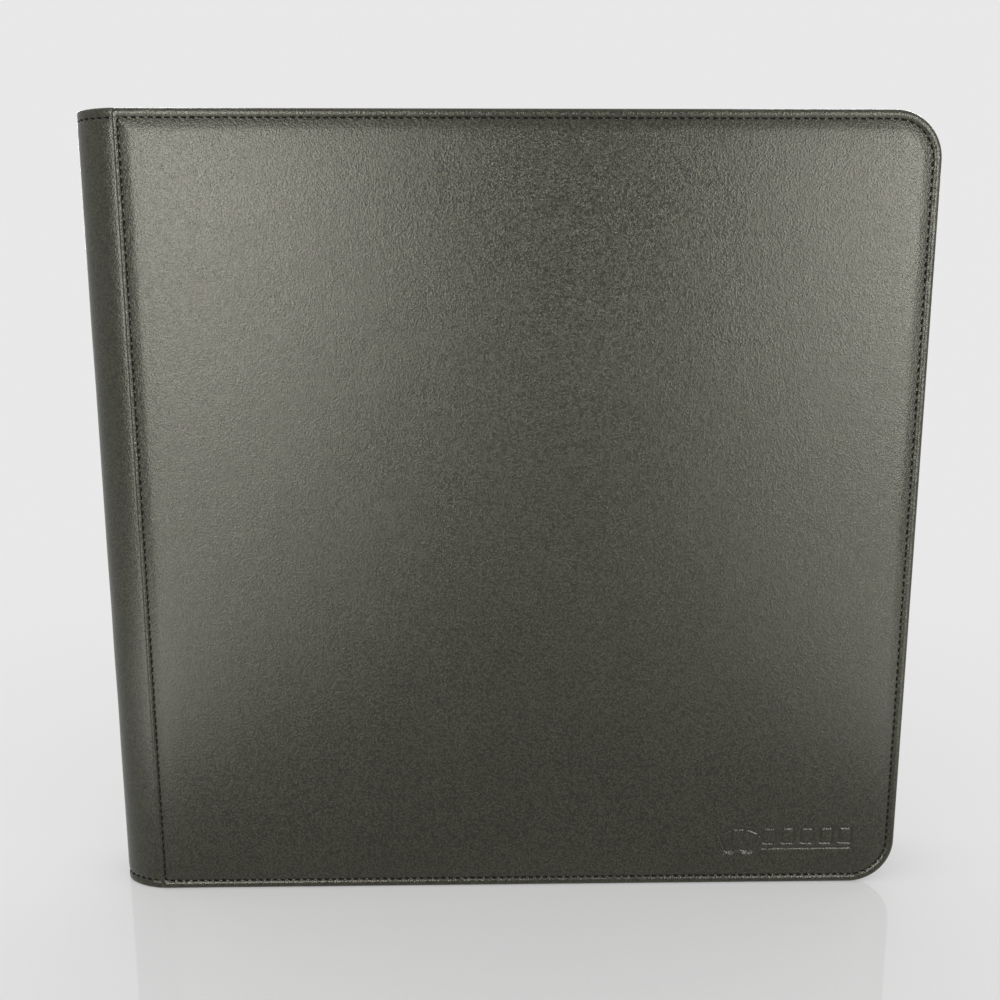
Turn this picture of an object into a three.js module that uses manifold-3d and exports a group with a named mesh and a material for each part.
// Zip-around binder for trading cards: twenty side-loading leaves of 4 x 3 pockets a side, between two
// padded leatherette covers that hinge on a rounded spine and close with a zipper round three edges.
// Millimetres, +Z up. It stands on its lower edge with the front cover towards -Y and the spine at -X.
// The origin is the middle of its underside.

import * as THREE from "three";
import { mergeVertices } from "three/addons/utils/BufferGeometryUtils.js";
import Module from "manifold-3d";

const wasm = await Module();
wasm.setup();

// ---- Driving dimensions ----

const WIDTH = 350; // spine to fore-edge, X
const HEIGHT = 336; // Z
const THICKNESS = 44; // closed, Y
const CORNER_RADIUS = 20; // of the covers' two fore-edge corners

// Layers of a cover, from its outer face inwards.
const SKIN = 1;
const FOAM = 1.5;
const BOARD = 2;
const LINING = 0.5;
const COVER = SKIN + FOAM + BOARD + LINING;
const FOAM_INSET = SKIN + 3; // from the cover's edge
const BOARD_INSET = SKIN + 0.5;
const LINING_INSET = SKIN + 0.25;

// The spine wrap: a flat middle and an elliptical quarter round to each cover.
const LAP = 18; // from the spine's outer face to the cover's folded edge
const SPINE_FLAT = 7; // half the flat's width
const SPINE_SPLIT = THREE.MathUtils.degToRad(27); // where the stiff spine ends and the flexible hinge starts
const HINGE_END = THREE.MathUtils.degToRad(88.5); // just short of the cover's folded edge
const LAP_STEP = SKIN; // the cover's edge is folded over the wrap, so the wrap lies one skin lower
const SPINE_BOARD_MARGIN = 3; // short of the binder's top and bottom
const SPINE_LINING_MARGIN = 2;
const HINGE_MARGIN = 0.5;

// Leaves.
const LEAVES = 20;
const LEAF_PITCH = 1.6;
const BACKING = 0.4; // the two webs of the leaf, welded together
const POCKET = 0.3; // a pocket's depth over the backing
const LEAF = 2 * POCKET + BACKING;
const TONGUE = BACKING; // the plain strip of web that a leaf turns on
const COLUMNS = 4;
const ROWS = 3;
const POCKET_WIDTH = 70;
const POCKET_HEIGHT = 93;
const MOUTH = 4; // the pocket stops this far short of its weld on the spine side, where a card slides in
const WELD = 3;
const LEAF_START = 36; // from the spine's outer face
const LEAF_WIDTH = WELD + COLUMNS * (POCKET_WIDTH + WELD);
const LEAF_HEIGHT = WELD + ROWS * (POCKET_HEIGHT + WELD);
const LEAF_CORNER = 5;
const FIRST_AXIS = 12; // the outermost leaf's turning line, from the spine's outer face
const AXIS_STEP = 0.5; // each leaf towards the middle turns on a line this much further out
const ROOF_GAP = 0.5; // between a tongue's turning line and the binding block
const BLOCK_MARGIN = 20; // binding block to the binder's top and bottom

// Zipper.
const TRACK_INSET = 7; // cover's edge to the middle of the tape
const TAPE = 1;
const TAPE_START = 31; // from the spine's outer face
const CHAIN_START = 33;
const CHAIN_WIDTH = 2.75;
const CHAIN_HEIGHT = 2.6;
const CHAIN_GAP = 0.75; // half the gap between the two unzipped chains
const CHAIN_BACK = CHAIN_GAP + CHAIN_WIDTH;
const STOP_HEIGHT = 3;
const SLIDER_START = 34;
const SLIDER_LENGTH = 14;
const SLIDER_NOSE = 12; // width at the leading end
const SLIDER_TAIL = 9;
const SLIDER_PLATE = 1.2;
const SLIDER_GAP = 3.4; // between the two plates
const POST_WIDTH = 0.9;

const ARC_SEGMENTS = 10;
const SPINE_SEGMENTS = 8;

// ---- Small tools ----

const fromSpine = (distance) => distance - WIDTH / 2;

function finish(colour, roughness, metalness = 0) {
  return new THREE.MeshStandardMaterial({ color: colour, roughness, metalness });
}

const leatherette = finish(0x33332f, 0.45);
const foamRubber = finish(0x8c8c88, 0.9);
const greyboard = finish(0x8d857a, 0.85);
const liningCloth = finish(0x17181a, 0.85);
const leafPlastic = finish(0x141518, 0.3);
const bindingPlastic = finish(0x1b1c1e, 0.6);
const zipTape = finish(0x141416, 0.9);
const zipNylon = finish(0x1c1c1f, 0.4);
const gunmetal = finish(0x3f4146, 0.35, 0.9);

function named(name, geometry, material) {
  const mesh = new THREE.Mesh(geometry, material);
  mesh.name = name;
  return mesh;
}

// An outline in X and Z as a slab between two depths in Y.
function slab(shape, nearY, farY, segments = ARC_SEGMENTS) {
  const [low, high] = [Math.min(nearY, farY), Math.max(nearY, farY)];
  const options = { depth: high - low, bevelEnabled: false, curveSegments: segments };
  return new THREE.ExtrudeGeometry(shape, options).rotateX(Math.PI / 2).translate(0, high, 0);
}

// An outline in X and Y as a column between two heights.
function column(shape, lowZ, highZ, segments = SPINE_SEGMENTS) {
  const options = { depth: highZ - lowZ, bevelEnabled: false, curveSegments: segments };
  return new THREE.ExtrudeGeometry(shape, options).translate(0, 0, lowZ);
}

function block(lowX, highX, lowY, highY, lowZ, highZ) {
  return new THREE.BoxGeometry(highX - lowX, highY - lowY, highZ - lowZ).translate(
    (lowX + highX) / 2,
    (lowY + highY) / 2,
    (lowZ + highZ) / 2,
  );
}

function toSolid(geometry) {
  const bare = geometry.clone();
  bare.deleteAttribute("normal");
  bare.deleteAttribute("uv");
  const merged = mergeVertices(bare);
  return new wasm.Manifold(
    new wasm.Mesh({
      numProp: 3,
      vertProperties: merged.attributes.position.array,
      triVerts: new Uint32Array(merged.index.array),
    }),
  );
}

function toGeometry(solid) {
  const mesh = solid.getMesh();
  const geometry = new THREE.BufferGeometry();
  geometry.setAttribute("position", new THREE.BufferAttribute(new Float32Array(mesh.vertProperties), 3));
  geometry.setIndex(new THREE.BufferAttribute(new Uint32Array(mesh.triVerts), 1));
  geometry.computeVertexNormals();
  return geometry;
}

const joined = (geometries) => toGeometry(geometries.map(toSolid).reduce((a, b) => a.add(b)));

function cutFrom(geometry, tools) {
  return toGeometry(tools.map(toSolid).reduce((left, tool) => left.subtract(tool), toSolid(geometry)));
}

// ---- Outlines ----

// A cover's outline, square at the spine side and rounded at the fore-edge, drawn in by inset on three sides.
function coverOutline(startX, inset) {
  const right = WIDTH / 2 - inset;
  const radius = CORNER_RADIUS - inset;
  const shape = new THREE.Shape();
  shape.moveTo(startX, inset);
  shape.lineTo(right - radius, inset);
  shape.absarc(right - radius, inset + radius, radius, -Math.PI / 2, 0, false);
  shape.absarc(right - radius, HEIGHT - inset - radius, radius, 0, Math.PI / 2, false);
  shape.lineTo(startX, HEIGHT - inset);
  shape.closePath();
  return shape;
}

// A band of the given width that follows the top, fore-edge and bottom, centred on the zipper's track.
function trackOutline(startX, width) {
  const outer = TRACK_INSET - width / 2;
  const inner = TRACK_INSET + width / 2;
  const centreX = WIDTH / 2 - CORNER_RADIUS;
  const lowZ = CORNER_RADIUS;
  const highZ = HEIGHT - CORNER_RADIUS;
  const shape = new THREE.Shape();
  shape.moveTo(startX, outer);
  shape.lineTo(centreX, outer);
  shape.absarc(centreX, lowZ, CORNER_RADIUS - outer, -Math.PI / 2, 0, false);
  shape.absarc(centreX, highZ, CORNER_RADIUS - outer, 0, Math.PI / 2, false);
  shape.lineTo(startX, HEIGHT - outer);
  shape.lineTo(startX, HEIGHT - inner);
  shape.absarc(centreX, highZ, CORNER_RADIUS - inner, Math.PI / 2, 0, true);
  shape.absarc(centreX, lowZ, CORNER_RADIUS - inner, 0, -Math.PI / 2, true);
  shape.lineTo(startX, inner);
  shape.closePath();
  return shape;
}

// The rounded spine's radii at a depth below its outer face.
const spineRadii = (depth) => [LAP - depth, THICKNESS / 2 - LAP_STEP - SPINE_FLAT - depth];

// One layer of the stiff spine: the flat and the start of both quarter rounds.
function spineLayer(depth, thickness) {
  const x = fromSpine(LAP);
  const [outerX, outerY] = spineRadii(depth);
  const [innerX, innerY] = spineRadii(depth + thickness);
  const frontEnd = Math.PI + SPINE_SPLIT;
  const backEnd = Math.PI - SPINE_SPLIT;
  const shape = new THREE.Shape();
  shape.absellipse(x, -SPINE_FLAT, outerX, outerY, frontEnd, Math.PI, true);
  shape.absellipse(x, SPINE_FLAT, outerX, outerY, Math.PI, backEnd, true);
  shape.absellipse(x, SPINE_FLAT, innerX, innerY, backEnd, Math.PI, false);
  shape.absellipse(x, -SPINE_FLAT, innerX, innerY, Math.PI, frontEnd, false);
  return shape;
}

// The flexible hinge between the stiff spine and a cover. side is -1 for the front and 1 for the back.
function hingeOutline(side, depth, thickness) {
  const x = fromSpine(LAP);
  const [outerX, outerY] = spineRadii(depth);
  const [innerX, innerY] = spineRadii(depth + thickness);
  const slack = 0.02; // radians between the hinge and the stiff spine
  const start = Math.PI - side * (SPINE_SPLIT + slack);
  const end = Math.PI - side * HINGE_END;
  const shape = new THREE.Shape();
  shape.absellipse(x, side * SPINE_FLAT, outerX, outerY, start, end, side > 0);
  shape.absellipse(x, side * SPINE_FLAT, innerX, innerY, end, start, side < 0);
  return shape;
}

// ---- Covers ----

function cover(prefix, side) {
  const at = (depth) => side * (THICKNESS / 2 - depth);
  const lapX = fromSpine(LAP);
  const panelX = lapX + SKIN;
  const skinFace = slab(coverOutline(lapX, 0), at(0), at(COVER));
  const skinHollow = slab(coverOutline(lapX - 1, SKIN), at(SKIN), at(COVER + 1));
  const group = new THREE.Group();
  const foam = slab(coverOutline(panelX, FOAM_INSET), at(SKIN), at(SKIN + FOAM));
  const board = slab(coverOutline(panelX + 1, BOARD_INSET), at(SKIN + FOAM), at(COVER - LINING));
  const lining = slab(coverOutline(panelX, LINING_INSET), at(COVER - LINING), at(COVER));
  group.add(
    named(`${prefix}_skin`, cutFrom(skinFace, [skinHollow]), leatherette),
    named(`${prefix}_foam`, foam, foamRubber),
    named(`${prefix}_board`, board, greyboard),
    named(`${prefix}_lining`, lining, liningCloth),
  );
  return group;
}

// ---- Spine and binding ----

// A column as tall as the binder, less a margin at either end.
const upright = (shape, margin) => column(shape, margin, HEIGHT - margin);

function spine() {
  const hingeDepth = SKIN + LINING;
  const group = new THREE.Group();
  group.add(
    named("spine_skin", upright(spineLayer(0, SKIN), 0), leatherette),
    named("spine_board", upright(spineLayer(SKIN, BOARD), SPINE_BOARD_MARGIN), greyboard),
    named("spine_lining", upright(spineLayer(SKIN + BOARD, LINING), SPINE_LINING_MARGIN), liningCloth),
    named("front_hinge_strip", upright(hingeOutline(-1, 0, hingeDepth), HINGE_MARGIN), leatherette),
    named("back_hinge_strip", upright(hingeOutline(1, 0, hingeDepth), HINGE_MARGIN), leatherette),
    named("page_binding_block", upright(bindingOutline(), BLOCK_MARGIN), bindingPlastic),
  );
  return group;
}

const leafY = (index) => (index - (LEAVES - 1) / 2) * LEAF_PITCH;
const stepsIn = (index) => Math.min(index, LEAVES - 1 - index);
const leafAxis = (index) => fromSpine(FIRST_AXIS + AXIS_STEP * stepsIn(index));

// The block's outer side is a low roof, one step for each leaf, so that leaves folded right over clear
// each other.
function bindingOutline() {
  const halfWidth = (LEAVES / 2) * LEAF_PITCH;
  const footX = fromSpine(SKIN + BOARD + LINING);
  const eavesX = leafAxis(0) - ROOF_GAP - AXIS_STEP / 2;
  const ridgeX = leafAxis(LEAVES / 2) - ROOF_GAP;
  const ridgeY = LEAF_PITCH / 2;
  const shape = new THREE.Shape();
  shape.moveTo(footX, -SPINE_FLAT);
  shape.lineTo(eavesX, -halfWidth);
  shape.lineTo(ridgeX, -ridgeY);
  shape.lineTo(ridgeX, ridgeY);
  shape.lineTo(eavesX, halfWidth);
  shape.lineTo(footX, SPINE_FLAT);
  shape.closePath();
  return shape;
}

// The leatherette tab that closes the spine's end and takes the ends of the zipper tape.
function endTab(name, centreZ) {
  const x = fromSpine(LAP);
  const reach = LAP - 4;
  const halfWidth = THICKNESS / 2 - COVER - 2;
  const round = halfWidth - SPINE_FLAT;
  const endX = fromSpine(TAPE_START - 1);
  const shape = new THREE.Shape();
  shape.moveTo(endX, halfWidth);
  shape.lineTo(x, halfWidth);
  shape.absellipse(x, SPINE_FLAT, reach, round, Math.PI / 2, Math.PI, false);
  shape.absellipse(x, -SPINE_FLAT, reach, round, Math.PI, Math.PI * 1.5, false);
  shape.lineTo(endX, -halfWidth);
  shape.closePath();
  return named(name, column(shape, centreZ - TAPE / 2, centreZ + TAPE / 2), leatherette);
}

// ---- Leaves ----

function leafOutline(lowX) {
  const highX = lowX + LEAF_WIDTH;
  const lowZ = (HEIGHT - LEAF_HEIGHT) / 2;
  const highZ = lowZ + LEAF_HEIGHT;
  const shape = new THREE.Shape();
  shape.moveTo(lowX, lowZ);
  shape.lineTo(highX - LEAF_CORNER, lowZ);
  shape.absarc(highX - LEAF_CORNER, lowZ + LEAF_CORNER, LEAF_CORNER, -Math.PI / 2, 0, false);
  shape.absarc(highX - LEAF_CORNER, highZ - LEAF_CORNER, LEAF_CORNER, 0, Math.PI / 2, false);
  shape.lineTo(lowX, highZ);
  shape.closePath();
  return shape;
}

// The backing sheet with twelve pockets welded to both of its faces. Each pocket stops short of the weld
// on its spine side, and a card slides in there.
function pocketPanel() {
  const lowX = fromSpine(LEAF_START);
  const lowZ = (HEIGHT - LEAF_HEIGHT) / 2 + WELD;
  const parts = [slab(leafOutline(lowX), -BACKING / 2, BACKING / 2, 4)];
  for (let columnIndex = 0; columnIndex < COLUMNS; columnIndex++) {
    const x = lowX + WELD + columnIndex * (POCKET_WIDTH + WELD);
    for (let row = 0; row < ROWS; row++) {
      const z = lowZ + row * (POCKET_HEIGHT + WELD);
      parts.push(block(x + MOUTH, x + POCKET_WIDTH, -LEAF / 2, LEAF / 2, z, z + POCKET_HEIGHT));
    }
  }
  return joined(parts);
}

function leaf(index, panel) {
  const margin = (HEIGHT - LEAF_HEIGHT) / 2 + 2;
  const overlap = 1; // the tongue is welded this far into the panel
  const tongue = block(
    leafAxis(index),
    fromSpine(LEAF_START + overlap),
    -TONGUE / 2,
    TONGUE / 2,
    margin,
    HEIGHT - margin,
  );
  const number = String(index + 1).padStart(2, "0");
  const mesh = named(`leaf_${number}`, joined([panel, tongue]), leafPlastic);
  mesh.position.y = leafY(index);
  return mesh;
}

function leaves() {
  const panel = pocketPanel();
  const group = new THREE.Group();
  for (let index = 0; index < LEAVES; index++) group.add(leaf(index, panel));
  return group;
}

// ---- Zipper ----

function zipperSide(prefix, side) {
  const coverFace = side * (THICKNESS / 2 - COVER);
  const tape = slab(trackOutline(fromSpine(TAPE_START), TAPE), coverFace, side * CHAIN_BACK);
  const chain = slab(trackOutline(fromSpine(CHAIN_START), CHAIN_HEIGHT), side * CHAIN_GAP, side * CHAIN_BACK);
  const group = new THREE.Group();
  group.add(
    named(`${prefix}_zipper_tape`, tape, zipTape),
    named(`${prefix}_zipper_chain`, chain, zipNylon),
    endStop(`${prefix}_upper_end_stop`, side, HEIGHT - TRACK_INSET),
    endStop(`${prefix}_lower_end_stop`, side, TRACK_INSET),
  );
  return group;
}

// A crimped stop, just before the first tooth.
function endStop(name, side, centreZ) {
  const length = CHAIN_START - TAPE_START - 0.2;
  const stop = named(name, new THREE.BoxGeometry(length, CHAIN_WIDTH, STOP_HEIGHT), gunmetal);
  stop.geometry = cutFrom(stop.geometry, [tapeSlit(length, side)]);
  stop.position.set(fromSpine(TAPE_START) + length / 2, side * (CHAIN_GAP + CHAIN_WIDTH / 2), centreZ);
  return stop;
}

// The slit in a stop that grips the tape's edge.
function tapeSlit(length, side) {
  const depth = CHAIN_WIDTH / 2;
  return new THREE.BoxGeometry(length + 1, depth, TAPE).translate(0, side * depth, 0);
}

// A slider plate seen along Z: broad at the nose that leads, narrower at the tail.
function sliderPlate(lowZ) {
  const nose = SLIDER_LENGTH / 2;
  const tail = -nose;
  const shape = new THREE.Shape();
  shape.moveTo(tail, -SLIDER_TAIL / 2);
  shape.lineTo(nose * 0.3, -SLIDER_TAIL / 2);
  shape.quadraticCurveTo(nose * 0.6, -SLIDER_NOSE / 2, nose * 0.8, -SLIDER_NOSE / 2);
  shape.quadraticCurveTo(nose, -SLIDER_NOSE / 2, nose, -SLIDER_NOSE / 4);
  shape.lineTo(nose, SLIDER_NOSE / 4);
  shape.quadraticCurveTo(nose, SLIDER_NOSE / 2, nose * 0.8, SLIDER_NOSE / 2);
  shape.quadraticCurveTo(nose * 0.6, SLIDER_NOSE / 2, nose * 0.3, SLIDER_TAIL / 2);
  shape.lineTo(tail, SLIDER_TAIL / 2);
  shape.closePath();
  return column(shape, lowZ, lowZ + SLIDER_PLATE, 5);
}

// Slider heights over the middle of the tape.
const PLATE_TOP = SLIDER_GAP / 2 + SLIDER_PLATE;
const PIN_HEIGHT = PLATE_TOP + 0.9;
const PIN_RADIUS = 0.6;
const PIN_X = 3; // from the slider's middle towards its nose
const BAIL_HALF = 1; // half the bail's width
const BAIL_BAR = 1; // its thickness
const BAIL_REACH = 5.5; // outside of either leg from the bail's middle
const BAIL_X = -0.5;

function slider() {
  const barLow = PIN_HEIGHT + PIN_RADIUS + 0.2;
  const bailTop = barLow + BAIL_BAR;
  const arch = block(
    BAIL_X - BAIL_REACH,
    BAIL_X + BAIL_REACH,
    -BAIL_HALF,
    BAIL_HALF,
    PLATE_TOP - SLIDER_PLATE / 2,
    bailTop,
  );
  const window = block(BAIL_X - BAIL_REACH + 1, BAIL_X + BAIL_REACH - 1, -3, 3, PLATE_TOP, barLow);
  const postHalf = POST_WIDTH / 2;
  const postTop = PLATE_TOP - 0.3; // set into both plates, short of their outer faces
  const post = block(2.5, SLIDER_LENGTH / 2 - 0.5, -postHalf, postHalf, -postTop, postTop);
  const body = joined([
    sliderPlate(SLIDER_GAP / 2),
    sliderPlate(-PLATE_TOP),
    post,
    cutFrom(arch, [window]),
  ]);
  return named("zipper_slider_body", body, gunmetal);
}

// The pull swings on a crosspin under the slider's bail. Its window clears the bail when it folds over.
function pull() {
  const armInner = 1.6;
  const armOuter = 3;
  const windowEnd = 9.6;
  const tabHalf = 4;
  const length = 36;
  const half = PIN_RADIUS;
  const outline = new THREE.Shape();
  outline.moveTo(0, -armOuter);
  outline.lineTo(windowEnd - 1, -armOuter);
  outline.lineTo(windowEnd + 2, -tabHalf);
  outline.absarc(length - tabHalf, 0, tabHalf, -Math.PI / 2, Math.PI / 2, false);
  outline.lineTo(windowEnd + 2, tabHalf);
  outline.lineTo(windowEnd - 1, armOuter);
  outline.lineTo(0, armOuter);
  outline.closePath();
  const window = block(-1, windowEnd, -armInner, armInner, -2, 2);
  const plate = cutFrom(column(outline, -half, half, 8), [window]);
  const pin = new THREE.CylinderGeometry(PIN_RADIUS, PIN_RADIUS, 2 * armOuter, 12);
  const mesh = named("zipper_pull", joined([plate, pin]), gunmetal);
  mesh.position.set(PIN_X, 0, PIN_HEIGHT);
  return mesh;
}

function sliderAndPull() {
  const group = new THREE.Group();
  group.position.set(fromSpine(SLIDER_START + SLIDER_LENGTH / 2), 0, HEIGHT - TRACK_INSET);
  group.add(slider(), pull());
  return group;
}

// ---- The binder ----

const binder = new THREE.Group();
binder.add(
  cover("front_cover", -1),
  cover("back_cover", 1),
  spine(),
  endTab("upper_zipper_end_tab", HEIGHT - TRACK_INSET),
  endTab("lower_zipper_end_tab", TRACK_INSET),
  leaves(),
  zipperSide("front", -1),
  zipperSide("back", 1),
  sliderAndPull(),
);

export default binder;
